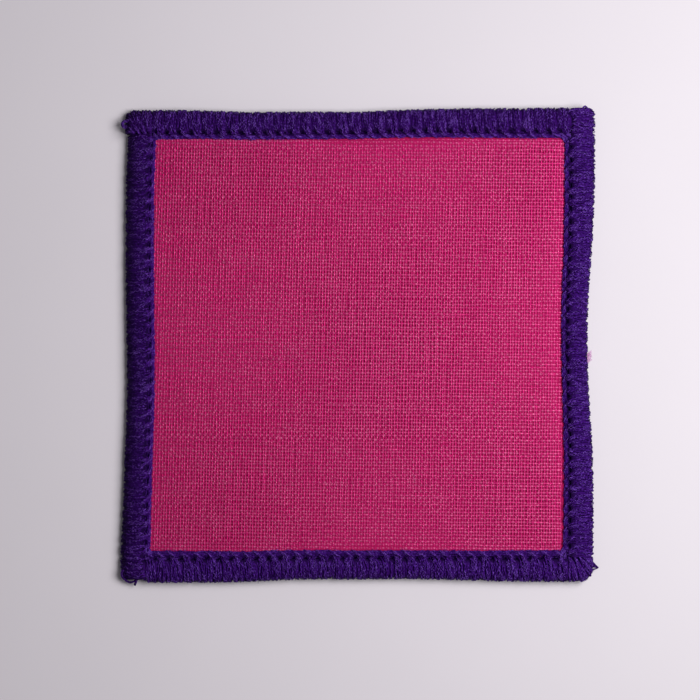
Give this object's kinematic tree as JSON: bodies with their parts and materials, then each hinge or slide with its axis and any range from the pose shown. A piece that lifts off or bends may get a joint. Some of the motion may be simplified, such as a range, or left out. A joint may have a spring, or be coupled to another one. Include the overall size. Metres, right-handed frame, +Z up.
{
  "type": "blank cloth patch with an overedged border",
  "caption": "Flat square patch of plain woven pink cloth, blank on its face, with a thick violet overedged border; sewn or glued onto a garment or bag.",
  "frame": {"origin": "under the middle of the patch, on the surface that it lies on", "axes": "+Z up out of the front face, +X to the right and +Y to the top of the front as the picture shows it"},
  "size_m": [0.064, 0.064, 0.0026],
  "materials": {
    "ground_cloth": "matt plain weave",
    "border_yarn": "satin textured yarn",
    "chain_thread": "satin twisted thread"
  },
  "bodies": {
    "root": {"ground_cloth": "ground_cloth", "border_bottom": "border_yarn", "border_right": "border_yarn", "border_top": "border_yarn", "border_left": "border_yarn", "chain_bottom": "chain_thread", "chain_right": "chain_thread", "chain_top": "chain_thread", "chain_left": "chain_thread"}
  },
  "joints": []
}
